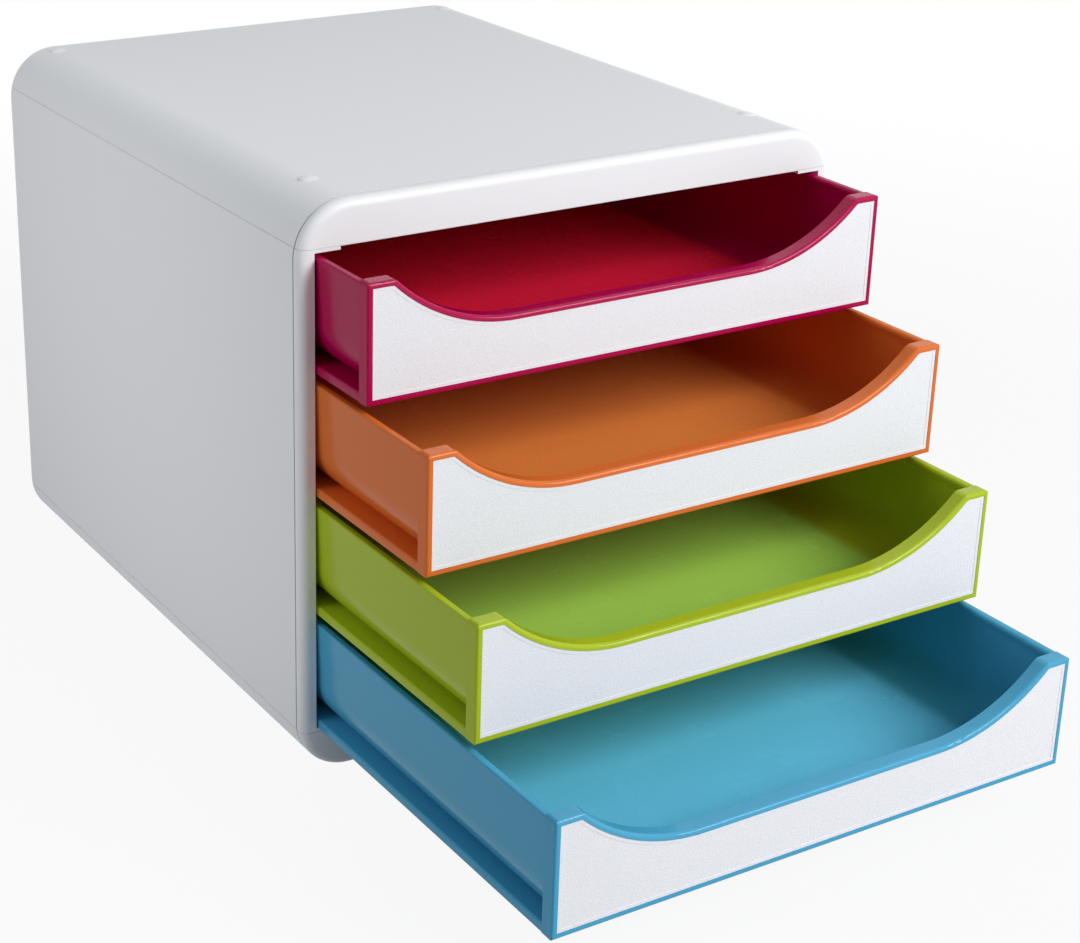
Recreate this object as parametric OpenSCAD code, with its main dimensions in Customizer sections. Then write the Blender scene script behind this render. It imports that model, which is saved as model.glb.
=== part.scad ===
// Desktop drawer tower: a moulded case with four sliding trays.
// Units are millimetres. +Z is up, the drawers open towards -Y, and the origin is on the table
// midway between the four feet.
// The trays stand open by different amounts, which is the rest pose.

/* [Case] */
// Depth of the case from front face to back face
case_d = 345; // [344:1:350]
// Radius of the four long edges
case_r = 26.5; // [25:0.5:28]
// Wall thickness of cover, base and side panels
wall = 3; // [2.8:0.1:3.2]
// Rounding of the front face's outer edge
front_edge_r = 4.2; // [3.8:0.1:4.6]
// Rounding of the back face's outer edge
back_edge_r = 2.5; // [2:0.1:2.8]
// Height of the cover moulding, measured down from the top face
cover_h = 20.8; // [20:0.1:21]
// Height of the base moulding, measured up from the bottom face
base_h = 23; // [22.8:0.1:23.2]
// Distance from the front face back to the shadow groove
groove_y = 6.4; // [6:0.1:7]
// Width of the shadow groove
groove_w = 0.9; // [0.6:0.1:1]
// Depth of the shadow groove
groove_t = 0.6; // [0.3:0.1:0.8]
// Width of each front post beside the drawers
post_w = 7.4; // [7.2:0.1:7.6]
// Depth of each front post
post_d = 8; // [7.6:0.1:8]
// Width of the inward flange along the top and bottom of a side panel
flange_w = 20.5; // [19:0.5:22]
// Thickness of that flange
flange_t = 1.6; // [1.5:0.1:1.7]
// Height of the fine line where the side panels meet the cover and the base
line_h = 0.4; // [0.3:0.1:0.6]
// Depth of that line
line_t = 0.3; // [0.2:0.1:0.5]

/* [Drawers] */
// Vertical distance from one drawer to the next
pitch = 60; // [60:0.1:60.2]
// Width of a drawer front
front_w = 283.6; // [283:0.1:283.8]
// Height of a drawer front at its corners
front_h = 56; // [55:0.5:56]
// Thickness of a drawer front
front_t = 7.5; // [7.2:0.1:7.6]
// Height of the coloured rim at the lowest point of the scoop
scoop_z = 30.2; // [28:0.2:32]
// Radius of the two arcs of the scoop
scoop_r = 89; // [86:1:92]
// Half the length of the straight stretch between those arcs
scoop_x = 65; // [60:1:68]
// Radius where the scoop meets the flat corner
corner_r = 5; // [4.8:0.1:6]
// Rounding of the scoop's front edge
scoop_edge_r = 1.6; // [1:0.1:1.8]
// Rounding of the front's other outer edges
front_edge = 1; // [0.6:0.1:1.2]
// Rounding of a front's two top corners, seen from the front
ear_r = 2; // [1.5:0.1:2.4]
// Width of the coloured rim round the white insert
rim_w = 2.55; // [2.4:0.05:2.8]
// Depth of the recess that holds the insert
recess_t = 1.2; // [1:0.1:1.4]
// How far the rim of a tray stays below the top of its front
rim_drop = 1; // [1:0.5:2]
// Thickness of a tray's side wall
tray_wall = 3; // [2.8:0.1:3.2]
// Thickness of a tray's floor
floor_t = 2; // [1.8:0.1:2]
// Width of the thickened rim along the top of a side wall
bead_w = 4.2; // [3.8:0.1:4.6]
// Rounding of the rim's inner edge
bead_r = 1.8; // [1.4:0.1:2]
// Inside radius between floor and side wall
tray_r = 19; // [17:0.5:20]
// Outward lean of the side wall, in degrees
lean = 2; // [1.5:0.1:2.2]
// How far the top drawer stands open
open_1 = 46; // [0:1:250]
// How far the second drawer stands open
open_2 = 97; // [0:1:250]
// How far the third drawer stands open
open_3 = 138; // [0:1:250]
// How far the bottom drawer stands open
open_4 = 199; // [0:1:250]
// Longest travel of a drawer, where its stops meet the posts
travel = 250; // [230:1:260]

/* [Feet] */
// How far the feet stand out below the base
foot_out = 1.5; // [1.2:0.1:2]
// Radius of a foot
foot_r = 8; // [7:0.5:9]
// Distance of the feet and stacking pips in from the side faces
foot_side = 25; // [24:0.5:27]
// Distance of the front feet and pips behind the front face
foot_front = 38; // [34:1:42]
// Distance of the back feet and pips before the back face
foot_back = 13; // [12:0.5:18]

/* [Hidden] */
$fn = 64;

// Clearances: slip is between moulded pieces that are pushed together, seat is over a runner.
slip = 0.2;
seat = 0.3;
side_gap = 0.8;
sill_gap = 0.2;
head_gap = 0.8;
rear_gap = 2.3;
// Overlap that makes one solid of two shapes, and the overshoot of a cut.
bite = 0.5;
over = 1;

// The case grows with the drawers that it holds.
drawer_count = 4;
case_w = front_w + 2 * (side_gap + post_w);
panel_h = 2 * flange_t + sill_gap + (drawer_count - 1) * pitch + front_h + head_gap;
case_h = base_h + panel_h + cover_h;

// Levels and faces of the case.
front_y = -(case_d + foot_front - foot_back) / 2;
back_y = front_y + case_d;
bottom_z = foot_out;
low_joint_z = bottom_z + base_h;
high_joint_z = low_joint_z + panel_h;
top_z = bottom_z + case_h;
inner_x = case_w / 2 - wall;
mouth_x = case_w / 2 - post_w;
flange_x = case_w / 2 - flange_w;
foot_x = case_w / 2 - foot_side;

// Case details.
tongue_t = 2;
tongue_h = 3.5;
tongue_gap = 2.4;
tongue_x = inner_x - tongue_gap;
tongue_end = 12;
lip_t = 3.2;
lip_reach = 5.5;
lip_x = inner_x - lip_reach;
back_t = 2.5;
back_front_y = back_y - lip_t - back_t;
keeper_t = 2;
keeper_w = 3;
field_t = 0.8;
field_margin = 14;
field_r = 8;
under_margin = 48;
under_t = 0.6;
rib_t = 1.6;
base_rib_h = 9;
cover_rib_h = 7;
pip_r = 4.5;
pip_h = 1;
dimple_r = 5;
dimple_t = 1.2;
foot_h = 5;
boss_wall = 2.4;
boss_roof = 2;

// Runner ribs inside the side panels.
runner_t = 1.8;
runner_w = 12.5;
runner_start = 10;

// Places of the drawers, from the underside and the face of their fronts.
first_z = low_joint_z + flange_t + sill_gap;
drawer_l = back_front_y - front_y - rear_gap;
opens = [open_1, open_2, open_3, open_4];
function drawer_z(n) = first_z + (drawer_count - n) * pitch;
function drawer_y(n) = front_y - opens[n - 1];

// The scoop: the arcs' centre, and the centre of the small corner arc that runs into them.
arc_bite = 0.01;
arc_z = scoop_z + scoop_r;
corner_z = front_h - corner_r;
corner_x = scoop_x + sqrt(pow(scoop_r + corner_r - arc_bite, 2) - pow(arc_z - corner_z, 2));
arc_end = atan2(arc_z - corner_z, corner_x - scoop_x);
scoop_top = 12;

// Front moulding.
skin_t = 1.8;
front_hollow = 2.4;
front_border = 2.5;
web_t = 1.6;
webs = 5;
insert_t = 1;
insert_gap = 0.12;
insert_border = 1.7;
insert_step = 0.15;

// Tray section: centre of the floor radius, and where the leaning wall starts.
tray_h = front_h - rim_drop;
lip_w = 2;
ledge_r = 1;
lip_bottom = seat;
floor_top = 4.5;
wall_top_r = 0.9;
bead_taper = 5;
wall_bead = 0.01;
bend_z = floor_top + tray_r;
bend_r = tray_r + tray_wall;
bend_x = front_w / 2 - bend_r * cos(lean) - (tray_h - bend_z + bend_r * sin(lean)) * tan(lean);
tray_back_t = 2.5;
tray_back_drop = 4;
tray_rib_h = 1.2;
hook_w = 20;
hook_l = 1.7;
hook_step = 90;

// Drawer stops, which meet the back of the posts.
stop_y = post_d + travel + seat;
stop_l = 8;
stop_flat = 3;
stop_z = 30;
stop_h = 14;
stop_gap = 0.9;

shell_color = "#dcdde0";
insert_color = "#f3f3f5";
rubber_color = "#3b3b3d";
drawer_colors = ["#b0003e", "#e0632a", "#a9c91f", "#3f9fca"];

// ---- Shared shapes ----

// Extrudes an x-z outline from y0 back to y1.
module along_y(y0, y1) {
    translate([0, y1, 0])
        rotate([90, 0, 0])
            linear_extrude(height = y1 - y0)
                children();
}

// A rectangle from the origin with its two corners at the far x side rounded.
module soft_end(length, depth, near_r, far_r) {
    widest = max(near_r, far_r);
    square([length - widest, depth]);
    translate([0, near_r])
        square([length, depth - near_r - far_r]);
    translate([0, near_r])
        square([length - far_r, depth - near_r]);
    square([length - near_r, depth - far_r]);
    translate([length - near_r, near_r])
        circle(r = near_r);
    translate([length - far_r, depth - far_r])
        circle(r = far_r);
}

// The case's outline in x and z, taken in by inset.
module case_outline(inset) {
    w = case_w - 2 * inset;
    h = case_h - 2 * inset;
    r = case_r - inset;
    translate([0, bottom_z + inset]) {
        translate([-w / 2 + r, 0])
            square([w - 2 * r, h]);
        translate([-w / 2, r])
            square([w, h - 2 * r]);
        for (x = [-1, 1], z = [r, h - r])
            translate([x * (w / 2 - r), z])
                circle(r = r);
    }
}

// Both halves of something that is drawn on the +x side.
module both_sides() {
    children();
    mirror([1, 0, 0])
        children();
}

// The solid outer form of the case, with its front and back edges rounded over.
module case_form() {
    core_x = case_w / 2 - case_r;
    both_sides()
        for (top = [0, 1])
            translate([core_x, front_y, top ? top_z - case_r : bottom_z + case_r])
                mirror([0, 0, top])
                    rotate([-90, 0, 0])
                        rotate_extrude(angle = 90)
                            soft_end(case_r, case_d, front_edge_r, back_edge_r);
    both_sides()
        translate([core_x, front_y, bottom_z + case_r])
            linear_extrude(height = case_h - 2 * case_r)
                soft_end(case_r, case_d, front_edge_r, back_edge_r);
    for (top = [0, 1])
        translate([-core_x, front_y, bottom_z + case_h / 2])
            mirror([0, 0, top])
                rotate([0, 90, 0])
                    linear_extrude(height = 2 * core_x)
                        soft_end(case_h / 2, case_d, front_edge_r, back_edge_r);
}

// The shadow groove that runs round the case behind its front face.
module groove_ring() {
    along_y(front_y + groove_y - groove_w / 2, front_y + groove_y + groove_w / 2)
        difference() {
            case_outline(-over);
            case_outline(groove_t);
        }
}

// The fine line round a side joint, from height z up, where the corner arc has risen by rise.
module joint_line(z, rise) {
    half_w = case_w / 2 - case_r + sqrt(case_r * case_r - rise * rise) - line_t;
    both_sides()
        translate([0, front_y, z])
            linear_extrude(height = line_h)
                difference() {
                    translate([flange_x, -over])
                        square([case_w, case_d + 2 * over]);
                    translate([0, line_t])
                        soft_end(half_w, case_d - 2 * line_t, front_edge_r - line_t, back_edge_r - line_t);
                }
}

// The part of the case's form between two heights.
module case_slice(z0, z1) {
    intersection() {
        case_form();
        translate([-case_w, front_y - over, z0])
            cube([2 * case_w, case_d + 2 * over, z1 - z0]);
    }
}

// The space inside the case's walls, over its whole height.
module case_hollow() {
    along_y(front_y + wall, back_y - wall)
        case_outline(wall);
}

// ---- Case ----

module top_cover() {
    rib_x = flange_x - 2 * tongue_t;
    color(shell_color) {
        difference() {
            case_slice(high_joint_z, top_z + over);
            case_hollow();
            groove_ring();
            joint_line(high_joint_z, high_joint_z - top_z + case_r);
        }
        for (share = [0.25, 0.5, 0.75])
            translate([-rib_x, front_y + case_d * share, top_z - wall - cover_rib_h])
                cube([2 * rib_x, rib_t, cover_rib_h + bite]);
        both_sides()
            for (y = [front_y + foot_front, back_y - foot_back])
                stacking_pip(foot_x, y);
    }
}

// A low dome on the cover that the foot of another case sits over.
module stacking_pip(x, y) {
    dome_r = (pip_r * pip_r + pip_h * pip_h) / (2 * pip_h);
    intersection() {
        translate([x, y, top_z + pip_h - dome_r])
            sphere(r = dome_r);
        translate([x, y, top_z - wall / 2])
            cylinder(r = pip_r, h = wall);
    }
}

module base() {
    rib_x = flange_x - 2 * tongue_t;
    floor_z = bottom_z + wall;
    boss_top = foot_h + boss_roof;
    boss_foot = bottom_z + wall / 2;
    color(shell_color)
        difference() {
            union() {
                difference() {
                    case_slice(bottom_z - over, low_joint_z);
                    case_hollow();
                    groove_ring();
                    joint_line(low_joint_z - line_h, bottom_z + case_r - low_joint_z);
                }
                for (share = [0.25, 0.5, 0.75])
                    translate([-rib_x, front_y + case_d * share, floor_z - bite])
                        cube([2 * rib_x, rib_t, base_rib_h + bite]);
                for (x = [-rib_x / 2, 0, rib_x / 2])
                    translate([x - rib_t / 2, front_y + wall - bite, floor_z - bite])
                        cube([rib_t, case_d - 2 * wall + 2 * bite, base_rib_h + bite]);
                each_foot()
                    translate([0, 0, boss_foot])
                        cylinder(r = foot_r + slip + boss_wall, h = boss_top - boss_foot);
            }
            each_foot()
                translate([0, 0, -over])
                    cylinder(r = foot_r + slip, h = foot_h + over);
            translate([0, 0, bottom_z - over])
                linear_extrude(height = over + under_t)
                    rounded_field(case_w / 2 - under_margin, front_y + under_margin,
                                  back_y - under_margin);
        }
}

// Places a child at each of the four feet.
module each_foot() {
    for (x = [-foot_x, foot_x], y = [front_y + foot_front, back_y - foot_back])
        translate([x, y, 0])
            children();
}

// The panel on the +x side, with its post, flanges, runner ribs and the slot for the back panel.
module side_panel() {
    color(shell_color) {
        difference() {
            intersection() {
                case_slice(low_joint_z, high_joint_z);
                translate([flange_x, front_y - over, 0])
                    cube([case_w, case_d + 2 * over, 2 * case_h]);
            }
            panel_space(flange_x - over, mouth_x, front_y - over, front_y + post_d + over);
            panel_space(flange_x - over, inner_x, front_y + post_d, back_y - lip_t);
            panel_space(flange_x - over, lip_x, back_y - lip_t - over, back_y + over);
            groove_ring();
        }
        for (n = [1:drawer_count])
            runner(drawer_z(n));
        for (z = [low_joint_z - tongue_h, high_joint_z - bite])
            translate([tongue_x - tongue_t, front_y + tongue_end, z])
                cube([tongue_t, case_d - 2 * tongue_end, tongue_h + bite]);
        translate([inner_x - keeper_w, back_front_y - slip - keeper_t, low_joint_z + flange_t - bite])
            cube([keeper_w + bite, keeper_t, high_joint_z - low_joint_z - 2 * flange_t + 2 * bite]);
    }
}

// A box cut out of the side panel between its two flanges.
module panel_space(x0, x1, y0, y1) {
    translate([x0, y0, low_joint_z + flange_t])
        cube([x1 - x0, y1 - y0, high_joint_z - low_joint_z - 2 * flange_t]);
}

// One runner rib, its top face at height z, with the front end rounded in plan.
module runner(z) {
    end_r = runner_w / 2;
    runner_x = inner_x - runner_w;
    translate([0, 0, z - runner_t])
        linear_extrude(height = runner_t) {
            translate([runner_x, front_y + runner_start + end_r])
                square([runner_w + bite, case_d - runner_start - end_r - lip_t - back_t - slip - bite]);
            translate([runner_x + end_r, front_y + runner_start + end_r])
                circle(r = end_r);
            translate([runner_x + end_r, front_y + runner_start])
                square([end_r + bite, end_r + bite]);
        }
}

module back_panel() {
    wide_x = inner_x - slip;
    narrow_x = flange_x - slip;
    low_z = low_joint_z + flange_t + slip;
    high_z = high_joint_z - flange_t - slip;
    color(shell_color) {
        along_y(back_front_y, back_front_y + back_t) {
            translate([-wide_x, low_z])
                square([2 * wide_x, high_z - low_z]);
            translate([-narrow_x, low_joint_z - tongue_h])
                square([2 * narrow_x, high_joint_z - low_joint_z + 2 * tongue_h]);
        }
        along_y(back_front_y + back_t - bite, back_front_y + back_t + field_t)
            rounded_field(lip_x - field_margin, low_z + field_margin, high_z - field_margin);
    }
}

// A rectangle with round corners, from low to high in its second direction.
module rounded_field(half_w, low, high) {
    translate([-half_w + field_r, low])
        square([2 * (half_w - field_r), high - low]);
    translate([-half_w, low + field_r])
        square([2 * half_w, high - low - 2 * field_r]);
    for (x = [field_r - half_w, half_w - field_r], y = [low + field_r, high - field_r])
        translate([x, y])
            circle(r = field_r);
}

// A rubber foot: a plug with a dished underside that fits over a stacking pip.
module foot(x, y) {
    color(rubber_color)
        translate([x, y, 0])
            difference() {
                cylinder(r = foot_r, h = foot_h);
                translate([0, 0, -over])
                    cylinder(r = dimple_r, h = dimple_t + over);
            }
}

// ---- Drawer fronts ----

// The scoop in x and z, made larger all round by grow.
module scoop_outline(grow) {
    translate([-scoop_x, scoop_z - grow])
        square([2 * scoop_x, front_h]);
    for (side = [0, 1])
        mirror([side, 0]) {
            translate([scoop_x, arc_z])
                circle(r = scoop_r + grow);
            difference() {
                polygon([
                    [corner_x, corner_z],
                    [corner_x - scoop_top * cos(arc_end), corner_z + scoop_top * sin(arc_end)],
                    [corner_x - scoop_top * cos(arc_end), corner_z + scoop_top],
                    [corner_x, corner_z + scoop_top]
                ]);
                translate([corner_x, corner_z])
                    circle(r = corner_r - grow);
            }
        }
}

// The outline of a drawer front in x and z, taken in by inset.
module front_outline(inset) {
    difference() {
        translate([-front_w / 2 + inset, inset])
            square([front_w - 2 * inset, front_h - 2 * inset]);
        scoop_outline(inset);
    }
}

// The corner that is taken off a front edge at the origin: x runs into the piece, y runs back.
module edge_corner(r) {
    difference() {
        translate([-over, -over])
            square([r + over, r + over]);
        translate([r, r])
            circle(r = r);
        translate([r, -2 * over])
            square([over, r + 2 * over]);
    }
}

// The plain block of a front with its four outer front edges rounded.
module front_block() {
    intersection() {
        translate([-front_w / 2, 0, 0])
            linear_extrude(height = front_h)
                difference() {
                    square([front_w, front_t]);
                    edge_corner(front_edge);
                    translate([front_w, 0])
                        mirror([1, 0])
                            edge_corner(front_edge);
                }
        translate([-front_w / 2, 0, 0])
            rotate([90, 0, 90])
                linear_extrude(height = front_w)
                    difference() {
                        square([front_t, front_h]);
                        edge_corner(front_edge);
                        translate([0, front_h])
                            mirror([0, 1])
                                edge_corner(scoop_edge_r);
                    }
    }
}

// Section of the rounding along the scoop's front edge, at a distance of radius from the arc's axis.
module scoop_edge_section(radius) {
    difference() {
        translate([radius - over, -over])
            square([scoop_edge_r + over, scoop_edge_r + over]);
        translate([radius + scoop_edge_r, scoop_edge_r])
            circle(r = scoop_edge_r);
    }
}

// What the scoop takes from a front, with its front edge rounded over all the way along.
module scoop_cut() {
    along_y(-over, front_t + over)
        scoop_outline(0);
    translate([-scoop_x, 0, arc_z])
        rotate([90, 90, 90])
            linear_extrude(height = 2 * scoop_x)
                scoop_edge_section(scoop_r);
    both_sides()
        translate([scoop_x, 0, arc_z])
            rotate([90, 0, 0])
                rotate([0, 0, -90])
                    mirror([0, 0, 1])
                        rotate_extrude(angle = 90)
                            scoop_edge_section(scoop_r);
}

// The space inside a front, open below, with upright webs left in it.
module front_space() {
    y0 = recess_t + skin_t;
    span = front_w - 2 * front_border;
    along_y(y0, y0 + front_hollow)
        difference() {
            translate([-span / 2, -over])
                square([span, front_h - front_border + over]);
            scoop_outline(front_border);
            for (n = [1:webs])
                translate([-span / 2 + span * n / (webs + 1) - web_t / 2, -2 * over])
                    square([web_t, front_h]);
        }
}

// Places a child at each hook that ties a tray's floor to its front.
module each_hook() {
    for (n = [-1:1])
        translate([n * hook_step - hook_w / 2, 0, 0])
            children();
}

module drawer_front(n) {
    color(drawer_colors[n - 1])
        translate([0, drawer_y(n), drawer_z(n)])
            difference() {
                front_block();
                scoop_cut();
                along_y(-over, recess_t)
                    front_outline(rim_w);
                front_space();
                both_sides()
                    along_y(-over, front_t + over)
                        translate([front_w / 2, front_h])
                            rotate(180)
                                edge_corner(ear_r);
                each_hook()
                    translate([-slip, front_t - hook_l - slip, floor_top - floor_t - slip])
                        cube([hook_w + 2 * slip, hook_l + slip + over, floor_t + 2 * slip]);
            }
}

// The white insert: a plate in the front's recess, with a fine border round its field.
module drawer_insert(n) {
    color(insert_color)
        translate([0, drawer_y(n), drawer_z(n)])
            difference() {
                along_y(recess_t - insert_t, recess_t)
                    front_outline(rim_w + insert_gap);
                along_y(recess_t - insert_t - over, recess_t - insert_t + insert_step)
                    front_outline(rim_w + insert_border);
            }
}

// ---- Trays ----

// The tray's hull section in x and z, up to height h, with bends of radius r about the bend centres.
module tray_hull(r, h) {
    touch_x = bend_x + (r - wall_bead) * cos(lean);
    touch_z = bend_z - (r - wall_bead) * sin(lean);
    top_x = touch_x + (h - touch_z) * tan(lean);
    polygon([
        [-bend_x, bend_z - r],
        [bend_x, bend_z - r],
        [touch_x, touch_z],
        [top_x, h],
        [-top_x, h],
        [-touch_x, touch_z]
    ]);
    for (x = [-bend_x, bend_x])
        translate([x, bend_z])
            circle(r = r);
}

// How far out the wall's mid face lies at height z.
function wall_x(z) = bend_x + (z - bend_z) * tan(lean);

// The thickened rim of the side wall on the +x side, a hair thicker than the wall below it.
module wall_top() {
    out_z = tray_h - wall_top_r;
    in_z = tray_h - bead_r;
    foot_z = in_z - bead_taper;
    out_x = wall_x(out_z) + (bend_r - wall_top_r) / cos(lean);
    in_x = wall_x(in_z) + (bend_r - bead_w + bead_r) / cos(lean);
    translate([in_x, in_z])
        circle(r = bead_r);
    translate([out_x, out_z])
        circle(r = wall_top_r);
    polygon([
        [in_x, tray_h],
        [out_x, tray_h],
        [out_x, foot_z],
        [wall_x(foot_z) + (tray_r + bite) / cos(lean), foot_z],
        [in_x - bead_r + wall_bead, in_z]
    ]);
}

// Section through the tray: floor, leaning walls and the runner lips outside them.
module tray_section() {
    floor_z = floor_top - floor_t;
    difference() {
        union() {
            intersection() {
                tray_hull(bend_r, tray_h - wall_top_r);
                translate([-front_w, floor_z])
                    square([2 * front_w, front_h]);
            }
            translate([-front_w / 2, floor_z])
                square([front_w, floor_t]);
            for (x = [-front_w / 2, front_w / 2 - lip_w])
                translate([x, lip_bottom])
                    square([lip_w, floor_top - lip_bottom]);
        }
        tray_hull(tray_r, front_h + over);
        for (side = [0, 1])
            mirror([side, 0])
                translate([front_w / 2, floor_top])
                    rotate(180)
                        edge_corner(ledge_r);
    }
    wall_top();
    mirror([1, 0])
        wall_top();
}

// A stop on the outside of the +x wall, square in front and ramped behind.
module tray_stop() {
    root_x = bend_x + bend_r / cos(lean) - bite;
    tip_x = inner_x - stop_gap;
    translate([0, 0, stop_z])
        linear_extrude(height = stop_h)
            polygon([
                [root_x, stop_y],
                [tip_x, stop_y],
                [tip_x, stop_y + stop_flat],
                [root_x, stop_y + stop_l]
            ]);
}

module drawer_tray(n) {
    floor_z = floor_top - floor_t;
    rib_z = floor_z - tray_rib_h;
    color(drawer_colors[n - 1])
        translate([0, drawer_y(n), drawer_z(n)]) {
            along_y(front_t, drawer_l)
                tray_section();
            along_y(drawer_l - tray_back_t, drawer_l)
                intersection() {
                    tray_hull(bend_r - bite, tray_h - tray_back_drop);
                    translate([-front_w, floor_z])
                        square([2 * front_w, front_h]);
                }
            both_sides()
                tray_stop();
            each_hook()
                translate([0, front_t - hook_l, floor_z])
                    cube([hook_w, hook_l + bite, floor_t]);
            for (x = [-hook_step, 0, hook_step])
                translate([x - rib_t / 2, front_t + over, rib_z])
                    cube([rib_t, drawer_l - front_t - over, tray_rib_h + bite]);
            for (share = [0.25, 0.5, 0.75])
                translate([-bend_x, drawer_l * share, rib_z])
                    cube([2 * bend_x, rib_t, tray_rib_h + bite]);
        }
}

top_cover();
base();
mirror([1, 0, 0]) side_panel();  // left_side_panel
side_panel();  // right_side_panel
back_panel();
foot(-foot_x, front_y + foot_front);  // foot_front_left
foot(foot_x, front_y + foot_front);  // foot_front_right
foot(-foot_x, back_y - foot_back);  // foot_back_left
foot(foot_x, back_y - foot_back);  // foot_back_right
drawer_tray(1);  // drawer_1_tray
drawer_front(1);  // drawer_1_front
drawer_insert(1);  // drawer_1_insert
drawer_tray(2);  // drawer_2_tray
drawer_front(2);  // drawer_2_front
drawer_insert(2);  // drawer_2_insert
drawer_tray(3);  // drawer_3_tray
drawer_front(3);  // drawer_3_front
drawer_insert(3);  // drawer_3_insert
drawer_tray(4);  // drawer_4_tray
drawer_front(4);  // drawer_4_front
drawer_insert(4);  // drawer_4_insert
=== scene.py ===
"""Dresses the desktop drawer tower: finishes, the small marks of moulding, stage, light and camera.

Lengths are in metres unless a name ends in _mm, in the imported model's own frame: +Z is up, the
drawers open towards -Y, and the origin is on the table midway between the four feet.
"""

import logging
import math
from dataclasses import dataclass, field
from enum import Enum

import bmesh
import bpy
from mathutils import Matrix, Vector


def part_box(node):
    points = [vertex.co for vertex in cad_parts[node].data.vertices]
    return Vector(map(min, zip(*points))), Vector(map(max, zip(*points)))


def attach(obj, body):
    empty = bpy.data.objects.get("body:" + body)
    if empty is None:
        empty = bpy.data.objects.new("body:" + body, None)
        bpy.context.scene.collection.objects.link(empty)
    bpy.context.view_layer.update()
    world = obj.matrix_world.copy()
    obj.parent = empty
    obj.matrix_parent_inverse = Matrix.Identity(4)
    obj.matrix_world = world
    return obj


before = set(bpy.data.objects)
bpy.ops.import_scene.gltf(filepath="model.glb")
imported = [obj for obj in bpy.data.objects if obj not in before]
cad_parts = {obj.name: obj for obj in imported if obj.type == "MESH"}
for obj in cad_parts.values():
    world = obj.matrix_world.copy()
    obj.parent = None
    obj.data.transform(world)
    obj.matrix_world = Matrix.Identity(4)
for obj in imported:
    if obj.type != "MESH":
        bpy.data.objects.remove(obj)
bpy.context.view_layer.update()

log = logging.getLogger("drawer_tower")

MM = 0.001
PHOTO_WIDTH = 1080
PHOTO_HEIGHT = 943
SENSOR_WIDTH_MM = 36.0
WHITE = (1.0, 1.0, 1.0, 1.0)
DOWN = Vector((0, 0, -1))
BACKWARD = Vector((0, 1, 0))

Span = tuple[float, float]  # where a ramp starts and ends


# ---- Colours and shader graphs ----


@dataclass(frozen=True)
class Tint:
    """A colour as it looks on a screen, with each channel from 0 to 255."""

    red: float
    green: float
    blue: float

    def linear(self) -> tuple[float, float, float, float]:
        """The colour in linear light, with full opacity."""
        return (*(self._channel(c / 255) for c in (self.red, self.green, self.blue)), 1.0)

    def shaded(self, share: float) -> "Tint":
        """The same hue with every channel multiplied by share."""
        return Tint(self.red * share, self.green * share, self.blue * share)

    @staticmethod
    def _channel(value: float) -> float:
        """One screen channel from 0 to 1, in linear light."""
        return value / 12.92 if value <= 0.04045 else ((value + 0.055) / 1.055) ** 2.4


class Sock:
    """A shader socket for Python's operators, so that an expression adds its Math nodes."""

    def __init__(self, graph: "Graph", socket: bpy.types.NodeSocket) -> None:
        """Wraps one output socket of a graph.

        Args:
            graph: The graph that holds the socket's node.
            socket: The output socket.
        """
        self.graph = graph
        self.socket = socket

    def other(self, output: str) -> "Sock":
        """Another output of the same node, by its name."""
        return Sock(self.graph, self.socket.node.outputs[output])

    def maths(self, operation: str, *values: "Value") -> "Sock":
        """A Math node on these values, which may be sockets or numbers."""
        return self.graph.node("ShaderNodeMath", {"operation": operation}, dict(enumerate(values)))

    def ramp(self, low: float, high: float) -> "Sock":
        """A smooth step from 0 at low to 1 at high."""
        settings = {"interpolation_type": "SMOOTHSTEP"}
        inputs = {"Value": self, "From Min": low, "From Max": high}
        return self.graph.node("ShaderNodeMapRange", settings, inputs)

    def above(self, level: float, fade: float) -> "Sock":
        """A smooth step from 0 to 1 at a level, as wide as the fade on either side of it."""
        return self.ramp(level - fade, level + fade)

    def below(self, level: float, fade: float) -> "Sock":
        """A smooth step from 1 to 0 at a level, as wide as the fade on either side of it."""
        return 1 - self.above(level, fade)

    def at_least(self, value: "Value") -> "Sock":
        """The greater of this socket and a value."""
        return self.maths("MAXIMUM", self, value)

    def at_most(self, value: "Value") -> "Sock":
        """The lesser of this socket and a value."""
        return self.maths("MINIMUM", self, value)

    def root(self) -> "Sock":
        """The square root of this socket."""
        return self.maths("SQRT", self)

    def __add__(self, value: "Value") -> "Sock":
        """The sum of this socket and a value."""
        return self.maths("ADD", self, value)

    def __radd__(self, value: float) -> "Sock":
        """The sum of a number and this socket."""
        return self.maths("ADD", value, self)

    def __sub__(self, value: "Value") -> "Sock":
        """This socket less a value."""
        return self.maths("SUBTRACT", self, value)

    def __rsub__(self, value: float) -> "Sock":
        """A number less this socket."""
        return self.maths("SUBTRACT", value, self)

    def __mul__(self, value: "Value") -> "Sock":
        """This socket times a value."""
        return self.maths("MULTIPLY", self, value)

    def __rmul__(self, value: float) -> "Sock":
        """A number times this socket."""
        return self.maths("MULTIPLY", value, self)

    def __abs__(self) -> "Sock":
        """This socket without its sign."""
        return self.maths("ABSOLUTE", self)


Value = Sock | float | tuple[float, ...]


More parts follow.
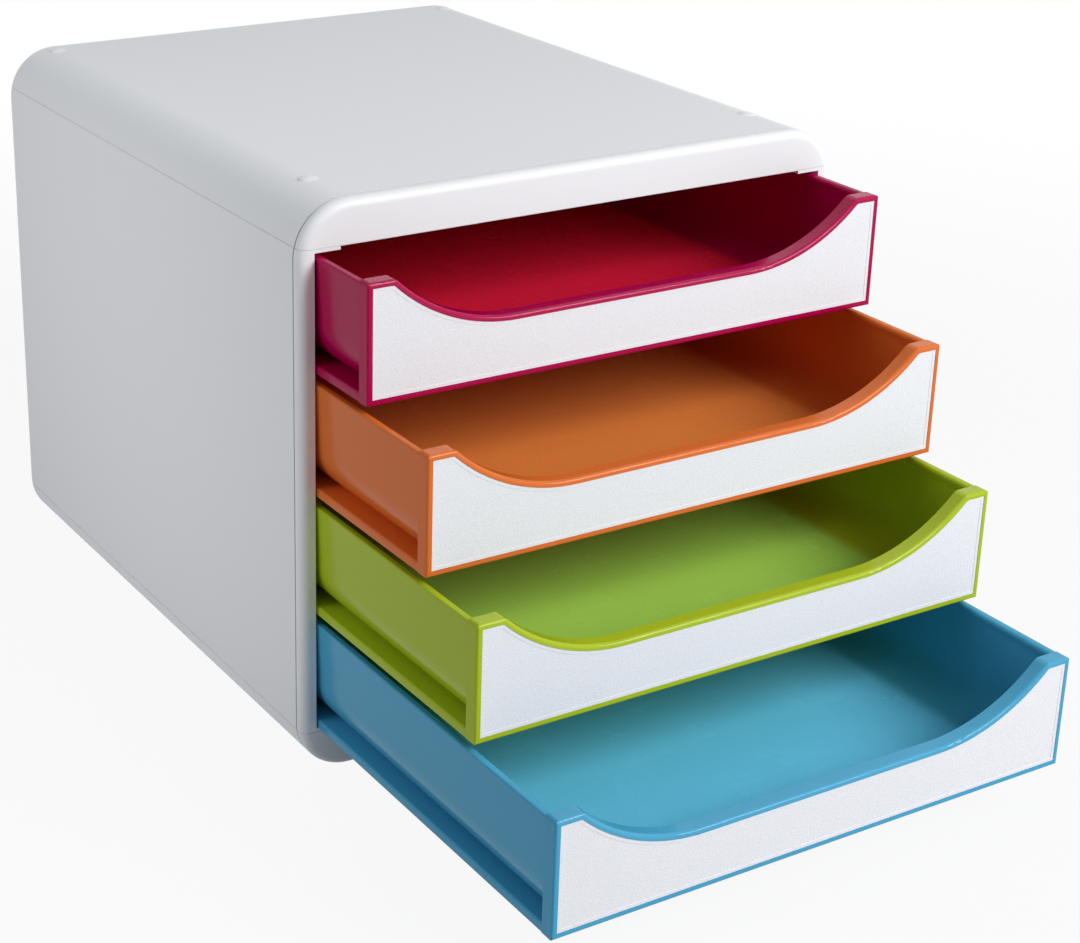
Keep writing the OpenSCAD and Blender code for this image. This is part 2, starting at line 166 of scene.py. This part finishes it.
class Graph:
    """A node tree that is filled by one method."""

    def __init__(self, tree: bpy.types.NodeTree) -> None:
        """Empties a node tree and wraps it.

        Args:
            tree: The tree of a material or of the world.
        """
        self.tree = tree
        self.tree.nodes.clear()

    def node(self, kind: str, settings: dict[str, object] | None = None,
             inputs: dict[str | int, Value] | None = None) -> Sock:
        """Adds one node.

        Args:
            kind: The node's type, such as ShaderNodeMath.
            settings: The node's own settings, which are set first.
            inputs: The value or the link of each input socket, by its name or number.

        Returns:
            The node's first output that is in use, or its first socket where it has no output.
        """
        made = self.tree.nodes.new(kind)
        for name, setting in (settings or {}).items():
            setattr(made, name, setting)
        for name, value in (inputs or {}).items():
            self.feed(made.inputs[name], value)
        shown = [s for s in made.outputs if s.enabled]
        return Sock(self, shown[0] if shown else made.inputs[0])

    def feed(self, socket: bpy.types.NodeSocket, value: Value) -> None:
        """Links an input socket to a socket, or sets it to a number, a vector or a colour.

        Args:
            socket: The input socket.
            value: What goes into it.
        """
        if isinstance(value, Sock):
            self.tree.links.new(value.socket, socket)
        else:
            socket.default_value = value

    def place(self) -> Sock:
        """Where a point is on the unmoved object."""
        return self.node("ShaderNodeTexCoord").other("Object")

    def stretched(self, place: Sock, scale: tuple[float, float, float]) -> Sock:
        """A place with its three axes scaled."""
        return self.node("ShaderNodeMapping", {}, {"Vector": place, "Scale": scale})

    def vector(self, operation: str, inputs: dict[str | int, Value]) -> Sock:
        """A Vector Math node on these inputs."""
        return self.node("ShaderNodeVectorMath", {"operation": operation}, inputs)

    def axis(self, place: Sock, name: str) -> Sock:
        """One coordinate of a place, by the name X, Y or Z."""
        return self.node("ShaderNodeSeparateXYZ", {}, {"Vector": place}).other(name)

    def noise(self, place: Sock, size: float, detail: float = 2.0,
              distortion: float = 0.0) -> Sock:
        """Soft noise from 0 to 1.

        Args:
            place: Where the noise is read.
            size: The width of one patch.
            detail: How many finer layers are added.
            distortion: How much the patches are warped.

        Returns:
            The noise value, which is about 0.5 on average.
        """
        inputs = {"Vector": place, "Scale": 1 / size, "Detail": detail, "Distortion": distortion}
        return self.node("ShaderNodeTexNoise", {}, inputs)

    def blend(self, share: Value, first: Value, second: Value) -> Sock:
        """Mixes two colours.

        Args:
            share: How much of the second colour shows, from 0 to 1.
            first: The colour where share is 0.
            second: The colour where share is 1.

        Returns:
            The mixed colour.
        """
        node = self.node("ShaderNodeMix", {"data_type": "RGBA"}).socket.node
        colours = [s for s in node.inputs if s.type == "RGBA"]
        for socket, value in zip((node.inputs[0], *colours), (share, first, second)):
            self.feed(socket, value)
        return Sock(self, next(s for s in node.outputs if s.type == "RGBA"))

    def bump(self, height: Sock, depth: float, normal: Sock | None = None) -> Sock:
        """A normal bent by a height from 0 to 1 that stands for a real depth.

        Args:
            height: The height over the surface.
            depth: The real height that 1 stands for.
            normal: A bent normal to start from.

        Returns:
            The bent normal.
        """
        inputs = {"Height": height, "Distance": depth, "Strength": 1.0}
        if normal:
            inputs["Normal"] = normal
        return self.node("ShaderNodeBump", {}, inputs)

    def surface(self, inputs: dict[str | int, Value]) -> None:
        """Ends a material's tree with one Principled shader that has these inputs."""
        shader = self.node("ShaderNodeBsdfPrincipled", {}, inputs)
        self.node("ShaderNodeOutputMaterial", {}, {"Surface": shader})


def new_material(name: str) -> tuple[bpy.types.Material, Graph]:
    """Makes a material with an empty graph.

    Args:
        name: The material's name.

    Returns:
        The material and its graph.
    """
    made = bpy.data.materials.new(name)
    made.use_nodes = True
    return made, Graph(made.node_tree)


# ---- Finishes ----


@dataclass(frozen=True)
class CaseSeams:
    """Where painted shade darkens the case: the groove behind its front and the joints of its
    sides.

    The case is a rounded box along Y. Its half width, its half height round the middle and the
    radius of its edges give the distance to its outside, and the painted shade lies within the
    skin's depth.
    The groove is a ring at one place along Y, and the joints are lines at two heights.
    """

    half_width: float = 150 * MM
    half_height: float = 142 * MM
    middle: float = 143.5 * MM
    corner: float = 26.5 * MM
    skin: float = 1 * MM
    groove: float = -178.6 * MM
    groove_half: float = 0.45 * MM
    joints: tuple[float, float] = (24.3 * MM, 264.9 * MM)
    joint_half: float = 0.22 * MM
    joint_share: float = 0.45
    fade: float = 0.08 * MM

    def near(self, distance: Sock, half: float) -> Sock:
        """1 where the distance from a line is under half its width, falling to 0 over the fade."""
        return abs(distance).below(half, self.fade)

    def mask(self, graph: Graph, place: Sock) -> Sock:
        """The painted shade: 1 in the groove and a share of it in the joints, on the case's outside
        only.

        Args:
            graph: The graph that takes the nodes.
            place: The point on the unmoved case.

        Returns:
            The mask from 0 to 1.
        """
        height = graph.axis(place, "Z")
        across = abs(graph.axis(place, "X")) - (self.half_width - self.corner)
        up = abs(height - self.middle) - (self.half_height - self.corner)
        over_x = across.at_least(0.0)
        over_z = up.at_least(0.0)
        round_part = (over_x * over_x + over_z * over_z).root()
        flat_part = across.at_least(up).at_most(0.0)
        distance = round_part + flat_part - self.corner
        outside = distance.ramp(-self.skin - self.fade, -self.skin)
        groove = self.near(graph.axis(place, "Y") - self.groove, self.groove_half) * outside
        lower, upper = (self.near(height - level, self.joint_half) for level in self.joints)
        return groove.at_least(lower.at_least(upper) * self.joint_share)


@dataclass(frozen=True)
class EtchedShell:
    """The case's satin plastic, moulded against a finely etched tool.

    Its colour drifts over wide clouds, a swell and a fine etching bend its surface, its lower
    edge is scuffed, and painted shade darkens its seams. A shade is a share of the tint's
    brightness.
    """

    tint: Tint = Tint(245, 245, 247)
    roughness: float = 0.42
    specular: float = 0.4
    etch_size: float = 0.55 * MM
    etch_depth: float = 0.012 * MM
    etch_roughness: float = 0.1
    swell_size: float = 14 * MM
    swell_depth: float = 0.03 * MM
    cloud_size: float = 120 * MM
    cloud_shade: float = 0.985
    cloud_roughness: float = 0.12
    scuff_height: float = 7 * MM
    scuff_size: float = 6.6 * MM
    scuff_span: Span = (0.56, 0.72)
    scuff_share: float = 0.16
    scuff_shade: float = 0.75
    seams: CaseSeams = CaseSeams()
    painted_shade_share: float = 0.5
    painted_shade_tone: float = 0.5

    def material(self, name: str) -> bpy.types.Material:
        """Builds the finish.

        Args:
            name: The material's name.

        Returns:
            The new material.
        """
        made, graph = new_material(name)
        place = graph.place()
        cloud = graph.noise(place, self.cloud_size, detail=3.0)
        etch = graph.noise(place, self.etch_size, detail=1.0)
        swell = graph.noise(place, self.swell_size, detail=1.0)
        low = 1 - graph.axis(place, "Z").ramp(0.0, self.scuff_height)
        scuff = graph.noise(place, self.scuff_size, detail=3.0).ramp(*self.scuff_span) * low
        # painted shade: the groove and the joint lines are darkened in the base colour
        painted_shade_mask = self.seams.mask(graph, place)
        colour = graph.blend(cloud, self.shade(self.cloud_shade), self.shade(1.0))
        colour = graph.blend(scuff * self.scuff_share, colour, self.shade(self.scuff_shade))
        colour = graph.blend(painted_shade_mask * self.painted_shade_share, colour, self.shade(self.painted_shade_tone))
        unevenness = (cloud - 0.5) * self.cloud_roughness + (etch - 0.5) * self.etch_roughness
        normal = graph.bump(swell, self.swell_depth)
        graph.surface({
            "Base Color": colour,
            "Roughness": self.roughness + unevenness,
            "Specular IOR Level": self.specular,
            "Normal": graph.bump(etch, self.etch_depth, normal),
        })
        return made

    def shade(self, share: float) -> tuple[float, float, float, float]:
        """The tint at a share of its brightness, in linear light."""
        return self.tint.shaded(share).linear()


@dataclass(frozen=True)
class GlossMoulding:
    """A drawer's bright through-coloured plastic, polished on its rims and rubbed on its floor,
    where a paler tint is painted light.

    The floor's mask starts just under the floor's level and fades up to the rise of the rub and
    of the painted light, and across it fades outside its flat part. The rims' mask covers the
    front's upper edges: in front of its back, inside its sides and over the polish's rise.
    """

    tint: Tint
    floor_light_tint: Tint
    floor_level: float
    front_back: float
    roughness: float = 0.2
    specular: float = 0.1
    flow_size: float = 60 * MM
    flow_stretch: tuple[float, float, float] = (1.0, 0.35, 1.0)
    flow_shade: float = 0.98
    peel_size: float = 5 * MM
    peel_depth: float = 0.012 * MM
    smudge_size: float = 24 * MM
    smudge_span: Span = (0.5, 0.75)
    smudge_share: float = 0.06
    smudge_roughness: float = 0.03
    floor_span: Span = (-0.8 * MM, -0.2 * MM)
    rub_and_light_span: Span = (0.3 * MM, 6 * MM)
    floor_light_share: float = 0.85
    rubbed_roughness: float = 0.06
    flat_half: float = 118.7 * MM
    flat_span: Span = (-4 * MM, 6 * MM)
    rub_width: float = 0.5 * MM
    rub_length: float = 70 * MM
    rub_span: Span = (0.62, 0.74)
    rub_roughness: float = 0.02
    polish: float = 0.28
    polish_roughness: float = 0.08
    polish_rise: float = 16 * MM
    rise_fade: float = 2 * MM
    side_half: float = 140 * MM
    side_fade: float = 0.5 * MM
    back_fade: float = 0.3 * MM

    def material(self, name: str) -> bpy.types.Material:
        """Builds the finish.

        Args:
            name: The material's name.

        Returns:
            The new material.
        """
        made, graph = new_material(name)
        place = graph.place()
        streamed = graph.stretched(place, self.flow_stretch)
        flow = graph.noise(streamed, self.flow_size, detail=3.0, distortion=0.4)
        peel = graph.noise(place, self.peel_size, detail=1.0)
        smudge = graph.noise(place, self.smudge_size, detail=4.0).ramp(*self.smudge_span)
        on_floor = self.floor_mask(graph, place)
        rub = self.rub_lines(graph, place) * on_floor
        # painted light: the floor is blended towards a paler tint, brighter than the lamps make it
        floor_light = on_floor * (self.floor_light_share + (smudge - 0.5) * self.smudge_share)
        fresh = graph.blend(flow, self.tint.shaded(self.flow_shade).linear(), self.tint.linear())
        unevenness = smudge * self.smudge_roughness + rub * self.rub_roughness
        graph.surface({
            "Base Color": graph.blend(floor_light, fresh, self.floor_light_tint.linear()),
            "Roughness": self.roughness + unevenness + on_floor * self.rubbed_roughness,
            "Specular IOR Level": self.specular,
            "Coat Weight": self.rim_mask(graph, place) * self.polish,
            "Coat Roughness": self.polish_roughness,
            "Normal": graph.bump(peel, self.peel_depth),
        })
        return made

    def floor_mask(self, graph: Graph, place: Sock) -> Sock:
        """1 on the flat of the tray's floor, fading up its bends.

        Args:
            graph: The graph that takes the nodes.
            place: The point on the unmoved drawer.

        Returns:
            The mask from 0 to 1.
        """
        over_floor = graph.axis(place, "Z") - self.floor_level
        past_flat = abs(graph.axis(place, "X")) - self.flat_half
        level = over_floor.ramp(*self.floor_span) * (1 - over_floor.ramp(*self.rub_and_light_span))
        return level * (1 - past_flat.ramp(*self.flat_span))

    def rim_mask(self, graph: Graph, place: Sock) -> Sock:
        """1 on the front's upper edges, inside its sides.

        Args:
            graph: The graph that takes the nodes.
            place: The point on the unmoved drawer.

        Returns:
            The mask from 0 to 1.
        """
        on_front = graph.axis(place, "Y").below(self.front_back, self.back_fade)
        inside = abs(graph.axis(place, "X")).below(self.side_half, self.side_fade)
        over_floor = graph.axis(place, "Z") - self.floor_level
        return on_front * inside * over_floor.above(self.polish_rise, self.rise_fade)

    def rub_lines(self, graph: Graph, place: Sock) -> Sock:
        """Fine lines along the way in which papers slide."""
        scale = (1 / self.rub_width, 1 / self.rub_length, 1 / self.rub_width)
        return graph.noise(graph.stretched(place, scale), 1.0, detail=1.0).ramp(*self.rub_span)


@dataclass(frozen=True)
class GrainedSheet:
    """The white insert of a drawer front, embossed with a fine hide grain.

    The grain is a net of creases round pebbles, which are wider across than up, and painted
    shade darkens the creases. The pebbles' places wander a little, and a share of their height is a
    finer unevenness.
    """

    tint: Tint = Tint(243, 243, 246)
    painted_crease_shade: Tint = Tint(236, 237, 241)
    roughness: float = 0.5
    crease_roughness: float = 0.15
    specular: float = 0.35
    pebble_size: float = 0.8 * MM
    pebble_stretch: tuple[float, float, float] = (0.45, 1.0, 1.0)
    pebble_span: Span = (0.0, 0.28)
    pebble_depth: float = 0.045 * MM
    fine_size: float = 0.24 * MM
    fine_share: float = 0.2
    wander: float = 0.6 * MM
    wander_size: float = 3 * MM

    def material(self, name: str) -> bpy.types.Material:
        """Builds the finish.

        Args:
            name: The material's name.

        Returns:
            The new material.
        """
        made, graph = new_material(name)
        place = graph.place()
        moved = graph.stretched(self.wandered(graph, place), self.pebble_stretch)
        settings = {"feature": "DISTANCE_TO_EDGE"}
        inputs = {"Vector": moved, "Scale": 1 / self.pebble_size}
        pebble = graph.node("ShaderNodeTexVoronoi", settings, inputs).ramp(*self.pebble_span)
        fine = graph.noise(place, self.fine_size)
        height = pebble * (1 - self.fine_share) + fine * self.fine_share
        graph.surface({
            # painted shade: the creases take a darker tint than the pebbles
            "Base Color": graph.blend(pebble, self.painted_crease_shade.linear(), self.tint.linear()),
            "Roughness": self.roughness + (1 - pebble) * self.crease_roughness,
            "Specular IOR Level": self.specular,
            "Normal": graph.bump(height, self.pebble_depth),
        })
        return made

    def wandered(self, graph: Graph, place: Sock) -> Sock:
        """Shifts a place at random, by up to half the wander along each axis.

        Args:
            graph: The graph that takes the nodes.
            place: The point on the unmoved insert.

        Returns:
            The shifted place.
        """
        inputs = {"Vector": place, "Scale": 1 / self.wander_size}
        drift = graph.node("ShaderNodeTexNoise", {}, inputs).other("Color")
        centred = graph.vector("SUBTRACT", {0: drift, 1: (0.5, 0.5, 0.5)})
        shift = graph.vector("SCALE", {0: centred, "Scale": self.wander})
        return graph.vector("ADD", {0: place, 1: shift})


@dataclass(frozen=True)
class FootRubber:
    """The feet's dull rubber, flecked, and a little paler where it has worn against the table."""

    tint: Tint = Tint(52, 52, 55)
    worn_tint: Tint = Tint(84, 83, 82)
    worn_height: float = 0.6 * MM
    worn_size: float = 3.2 * MM
    worn_span: Span = (0.35, 0.7)
    roughness: float = 0.78
    fleck_size: float = 0.8 * MM
    fleck_depth: float = 0.05 * MM
    fleck_roughness: float = 0.2

    def material(self, name: str) -> bpy.types.Material:
        """Builds the finish.

        Args:
            name: The material's name.

        Returns:
            The new material.
        """
        made, graph = new_material(name)
        place = graph.place()
        fleck = graph.noise(place, self.fleck_size, detail=3.0)
        near_table = 1 - graph.axis(place, "Z").ramp(0.0, self.worn_height)
        worn = near_table * graph.noise(place, self.worn_size).ramp(*self.worn_span)
        graph.surface({
            "Base Color": graph.blend(worn, self.tint.linear(), self.worn_tint.linear()),
            "Roughness": self.roughness + (fleck - 0.5) * self.fleck_roughness,
            "Normal": graph.bump(fleck, self.fleck_depth),
        })
        return made


# ---- Small moulded marks ----


def new_piece(name: str, mesh: bmesh.types.BMesh, material: bpy.types.Material, body: str) -> None:
    """Turns a bmesh into a piece that rides on a body.

    Args:
        name: The piece's name.
        mesh: The bmesh in the object's own frame, which is freed here.
        material: The finish.
        body: The body that it moves with.
    """
    bmesh.ops.recalc_face_normals(mesh, faces=mesh.faces)
    data = bpy.data.meshes.new(name)
    mesh.to_mesh(data)
    mesh.free()
    data.materials.append(material)
    piece = bpy.data.objects.new(name, data)
    bpy.context.scene.collection.objects.link(piece)
    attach(piece, body)
    log.info("made %s with %d faces on %s", name, len(data.polygons), body)


@dataclass(frozen=True)
class PinMark:
    """The faint raised disc that an ejector pin leaves on a moulding."""

    radius: float = 3 * MM
    height: float = 0.15 * MM
    edge: float = 0.05 * MM
    sink: float = 0.1 * MM
    segments: int = 32

    def add(self, mesh: bmesh.types.BMesh, place: Vector, outward: Vector) -> None:
        """Adds one mark to a bmesh.

        Args:
            mesh: The bmesh that takes it.
            place: The mark's centre on the surface.
            outward: The way that the surface faces.
        """
        turn = Vector((0, 0, 1)).rotation_difference(outward).to_matrix().to_4x4()
        seat = Matrix.Translation(place - outward * self.sink) @ turn
        disc = bmesh.ops.create_circle(mesh, cap_ends=True, radius=self.radius,
                                       segments=self.segments, matrix=seat)
        base = list({f for v in disc["verts"] for f in v.link_faces})
        lifted = bmesh.ops.extrude_face_region(mesh, geom=base)
        top = [v for v in lifted["geom"] if isinstance(v, bmesh.types.BMVert)]
        bmesh.ops.translate(mesh, verts=top, vec=outward * (self.height + self.sink))
        rim = [e for e in {e for v in top for e in v.link_edges} if all(v in top for v in e.verts)]
        bmesh.ops.bevel(mesh, geom=rim, offset=self.edge, offset_type="OFFSET", affect="EDGES",
                        segments=2, profile=0.5, material=-1, clamp_overlap=True)

    def add_grid(self, mesh: bmesh.types.BMesh, columns: tuple[float, ...],
                 rows: tuple[float, ...], level: float) -> None:
        """Adds a mark that faces down at each crossing of a grid.

        Args:
            mesh: The bmesh that takes them.
            columns: The places along X.
            rows: The places along Y.
            level: The height of the surface.
        """
        for x in columns:
            for y in rows:
                self.add(mesh, Vector((x, y, level)), DOWN)


@dataclass(frozen=True)
class GateMark:
    """The trimmed stub of the gate, in the middle of a moulding's hidden face."""

    radius: float = 1.6 * MM
    height: float = 0.4 * MM
    edge: float = 0.18 * MM
    segments: int = 24

    def as_pin(self) -> PinMark:
        """The same shape, as a mark with a wide edge."""
        return PinMark(self.radius, self.height, self.edge, segments=self.segments)


def part_way(low: float, high: float, share: float) -> float:
    """The place that lies a share of the way from low to high."""
    return low + (high - low) * share


# ---- The tower's sub-assemblies ----


class BodyColour(Enum):
    """The four drawers' colours from the top down: slot, fresh tint and the floor's painted light
    tint.
    """

    RASPBERRY = ("raspberry_plastic", Tint(180, 0, 76), Tint(240, 38, 66))
    ORANGE = ("orange_plastic", Tint(228, 116, 48), Tint(254, 154, 76))
    LIME = ("lime_plastic", Tint(176, 196, 36), Tint(180, 240, 104))
    BLUE = ("blue_plastic", Tint(76, 168, 206), Tint(116, 214, 254))

    @property
    def slot(self) -> str:
        """The record's slot for this colour."""
        return self.value[0]

    @property
    def tint(self) -> Tint:
        """The colour of the fresh moulding."""
        return self.value[1]

    @property
    def floor_light_tint(self) -> Tint:
        """The paler colour of the floor, painted light that brightens it."""
        return self.value[2]


def dress(node: str, material: bpy.types.Material) -> None:
    """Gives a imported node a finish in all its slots.

    Args:
        node: The node's name.
        material: The finish.
    """
    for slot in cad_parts[node].material_slots:
        slot.material = material
    log.info("dressed %s in %s", node, material.name)


@dataclass
class Case:
    """The housing: cover, base, two side panels, back panel and four rubber feet."""

    body: str = "case"
    shell: EtchedShell = field(default_factory=EtchedShell)
    rubber: FootRubber = field(default_factory=FootRubber)
    pin: PinMark = field(default_factory=PinMark)
    gate: GateMark = field(default_factory=GateMark)
    slot: str = "case_plastic"
    pin_inset: float = 60 * MM
    pin_shares: tuple[float, ...] = (0.3, 0.5, 0.7)
    base_recess: float = 0.6 * MM
    shell_nodes: tuple[str, ...] = (
        "top_cover", "base", "left_side_panel", "right_side_panel", "back_panel",
    )
    foot_nodes: tuple[str, ...] = (
        "foot_front_left", "foot_front_right", "foot_back_left", "foot_back_right",
    )

    def build(self) -> None:
        """Dresses the housing and adds the marks of its moulding."""
        shell = self.shell.material(self.slot)
        rubber = self.rubber.material("foot_rubber")
        for node in self.shell_nodes:
            dress(node, shell)
        for node in self.foot_nodes:
            dress(node, rubber)
        self.mark_base(shell)
        self.mark_back(shell)

    def mark_base(self, shell: bpy.types.Material) -> None:
        """Puts pin marks and the gate's stub in the recess under the base.

        Args:
            shell: The housing's finish.
        """
        low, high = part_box("base")
        mesh = bmesh.new()
        level = low.z + self.base_recess
        columns = (low.x + self.pin_inset, high.x - self.pin_inset)
        rows = tuple(part_way(low.y, high.y, share) for share in self.pin_shares)
        self.pin.add_grid(mesh, columns, rows, level)
        self.gate.as_pin().add(mesh, Vector((0, (low.y + high.y) / 2, level)), DOWN)
        new_piece("base_mould_marks", mesh, shell, self.body)

    def mark_back(self, shell: bpy.types.Material) -> None:
        """Puts the gate's stub on the back panel.

        Args:
            shell: The housing's finish.
        """
        low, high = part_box("back_panel")
        mesh = bmesh.new()
        self.gate.as_pin().add(mesh, Vector((0, high.y, (low.z + high.z) / 2)), BACKWARD)
        new_piece("back_mould_mark", mesh, shell, self.body)


@dataclass
class Drawer:
    """One drawer: a coloured tray and front, and the white insert in the front.

    The floor's top and underside are measured up from the front's lower edge, and the front's
    depth back from its face. The pin marks lie at shares of the tray's length.
    """

    number: int
    colour: BodyColour
    floor_top: float = 4.5 * MM
    floor_under: float = 2.5 * MM
    front_depth: float = 7.5 * MM
    pin_columns: tuple[float, ...] = (-45 * MM, 45 * MM)
    pin_shares: tuple[float, ...] = (0.125, 0.375, 0.625, 0.875)
    gate_column: float = 8 * MM
    gate_share: float = 0.47
    pin: PinMark = field(default_factory=PinMark)
    gate: GateMark = field(default_factory=GateMark)

    @property
    def body(self) -> str:
        """The body that the drawer's pieces ride on."""
        return f"drawer_{self.number}"

    def build(self, sheet: bpy.types.Material) -> None:
        """Dresses the drawer and marks its underside.

        Args:
            sheet: The finish that all four inserts share.
        """
        front_low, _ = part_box(f"{self.body}_front")
        moulding = GlossMoulding(self.colour.tint, self.colour.floor_light_tint,
                                 floor_level=front_low.z + self.floor_top,
                                 front_back=front_low.y + self.front_depth)
        plastic = moulding.material(self.colour.slot)
        dress(f"{self.body}_tray", plastic)
        dress(f"{self.body}_front", plastic)
        dress(f"{self.body}_insert", sheet)
        self.mark_underside(plastic, front_low.z + self.floor_under)

    def mark_underside(self, plastic: bpy.types.Material, level: float) -> None:
        """Puts pin marks and the gate's stub under the tray's floor.

        Args:
            plastic: The drawer's finish.
            level: The height of the floor's underside.
        """
        low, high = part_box(f"{self.body}_tray")
        mesh = bmesh.new()
        rows = tuple(part_way(low.y, high.y, share) for share in self.pin_shares)
        self.pin.add_grid(mesh, self.pin_columns, rows, level)
        gate_row = part_way(low.y, high.y, self.gate_share)
        self.gate.as_pin().add(mesh, Vector((self.gate_column, gate_row, level)), DOWN)
        new_piece(f"{self.body}_mould_marks", mesh, plastic, self.body)


# ---- Stage, light and camera ----


@dataclass(frozen=True)
class SoftBox:
    """A large square lamp that points at the tower."""

    name: str
    place: tuple[float, float, float]
    size: float
    power: float
    target: tuple[float, float, float] = (0.0, -0.05, 0.13)
    spread_deg: float = 180.0

    def hang(self) -> None:
        """Adds the lamp, turned towards its target."""
        lamp = bpy.data.lights.new(self.name, "AREA")
        lamp.shape = "SQUARE"
        lamp.size = self.size
        lamp.energy = self.power
        lamp.spread = math.radians(self.spread_deg)
        held = bpy.data.objects.new(self.name, lamp)
        held.location = self.place
        way = Vector(self.target) - Vector(self.place)
        held.rotation_euler = way.to_track_quat("-Z", "Y").to_euler()
        bpy.context.scene.collection.objects.link(held)
        log.info("hung lamp %s of %.1f W", self.name, self.power)


@dataclass
class Studio:
    """A pale floor, a bright room, and two soft lamps: front right and, near the case, left.

    The floor is near white round the tower and turns white from the near to the far radius.
    """

    floor_half: float = 8.0
    floor_tint: Tint = Tint(196, 196, 198)
    near_white: float = 0.92
    near_radius: float = 0.45
    far_radius: float = 1.3
    room_level: float = 0.29
    room_light: tuple[float, float, float, float] = (0.87, 0.94, 1.0, 1.0)
    lamps: tuple[SoftBox, ...] = (
        SoftBox("front_light", place=(0.7, -1.6, 1.22), size=1.0, power=30.5),
        SoftBox("left_light", place=(-0.8, 0.02, 0.4), size=0.4, power=0.51,
                target=(-0.15, 0.02, 0.14), spread_deg=100.0),
    )

    def build(self) -> None:
        """Lays the floor, lights the room and hangs the lamps."""
        self.lay_floor()
        self.fill_room()
        for lamp in self.lamps:
            lamp.hang()

    @staticmethod
    def seen(graph: Graph) -> Sock:
        """Picks out rays that see the background: from the camera, reflected or through glass.

        Args:
            graph: The graph that takes the nodes.

        Returns:
            1 for those rays, and 0 for the rays that light the tower.
        """
        path = graph.node("ShaderNodeLightPath")
        mirrored = path.other("Is Glossy Ray").at_least(path.other("Is Transmission Ray"))
        return path.other("Is Camera Ray").at_least(mirrored)

    def lay_floor(self) -> None:
        """Makes the floor, which is white away from the tower and keeps its shadow near it."""
        mesh = bmesh.new()
        bmesh.ops.create_grid(mesh, x_segments=1, y_segments=1, size=self.floor_half)
        data = bpy.data.meshes.new("floor")
        mesh.to_mesh(data)
        mesh.free()
        floor = bpy.data.objects.new("floor", data)
        bpy.context.scene.collection.objects.link(floor)
        made, graph = new_material("floor_paper")
        flat = graph.stretched(graph.place(), (1.0, 1.0, 0.0))
        reach = graph.vector("LENGTH", {0: flat}).other("Value")
        far = reach.ramp(self.near_radius, self.far_radius)
        white = graph.node("ShaderNodeEmission", {}, {"Color": WHITE, "Strength": 1.0})
        paper = graph.node("ShaderNodeBsdfDiffuse", {}, {"Color": self.floor_tint.linear()})
        share = (self.near_white + far * (1 - self.near_white)) * self.seen(graph)
        shader = graph.node("ShaderNodeMixShader", {}, {0: share, 1: paper, 2: white})
        graph.node("ShaderNodeOutputMaterial", {}, {"Surface": shader})
        data.materials.append(made)
        log.info("laid the floor")

    def fill_room(self) -> None:
        """Makes the world white to the eye, and a plain soft light on the tower."""
        world = bpy.data.worlds.new("room")
        bpy.context.scene.world = world
        world.use_nodes = True
        graph = Graph(world.node_tree)
        inputs = {"Color": self.room_light, "Strength": self.room_level}
        light = graph.node("ShaderNodeBackground", {}, inputs)
        white = graph.node("ShaderNodeBackground", {}, {"Color": WHITE, "Strength": 1.0})
        shader = graph.node("ShaderNodeMixShader", {}, {0: self.seen(graph), 1: light, 2: white})
        graph.node("ShaderNodeOutputWorld", {}, {"Surface": shader})
        log.info("filled the room with light")


@dataclass(frozen=True)
class Viewpoint:
    """Where the photograph was taken from, solved from the corners of the case and drawers.

    The heading turns the view from +Y towards -X, the dip tilts it down, and the centre is the
    point of the picture that lies straight ahead.
    """

    place_mm: tuple[float, float, float] = (-587.78, -1013.59, 563.84)
    heading_deg: float = -31.117
    dip_deg: float = 21.437
    roll_deg: float = 0.804
    focal_px: float = 2248.4
    centre_px: tuple[float, float] = (420.0, 400.0)

    def build(self) -> None:
        """Adds the camera and makes it the scene's own."""
        angles = (self.heading_deg, self.dip_deg, self.roll_deg)
        heading, dip, roll = (math.radians(angle) for angle in angles)
        forward = Vector((-math.sin(heading) * math.cos(dip),
                          math.cos(heading) * math.cos(dip), -math.sin(dip)))
        level = Vector((math.cos(heading), math.sin(heading), 0))
        upright = level.cross(forward)
        right = level * math.cos(roll) + upright * math.sin(roll)
        up = upright * math.cos(roll) - level * math.sin(roll)
        data = bpy.data.cameras.new("camera")
        data.sensor_width = SENSOR_WIDTH_MM
        data.lens = self.focal_px / PHOTO_WIDTH * SENSOR_WIDTH_MM
        data.shift_x = (PHOTO_WIDTH / 2 - self.centre_px[0]) / PHOTO_WIDTH
        data.shift_y = (self.centre_px[1] - PHOTO_HEIGHT / 2) / PHOTO_WIDTH
        camera = bpy.data.objects.new("camera", data)
        turn = Matrix((right, up, -forward)).transposed().to_4x4()
        camera.matrix_world = Matrix.Translation(Vector(self.place_mm) * MM) @ turn
        bpy.context.scene.collection.objects.link(camera)
        bpy.context.scene.camera = camera
        log.info("set the camera with a %.1f mm lens", data.lens)


def main() -> None:
    """Builds the camera, the tower's sub-assemblies and the studio, in that order."""
    logging.basicConfig(level=logging.INFO, format="%(name)s: %(message)s")
    bpy.context.scene.view_settings.view_transform = "Standard"
    Viewpoint().build()
    Case().build()
    sheet = GrainedSheet().material("insert_plastic")
    for number, colour in enumerate(BodyColour, start=1):
        Drawer(number, colour).build(sheet)
    Studio().build()


if __name__ == "__main__":
    main()
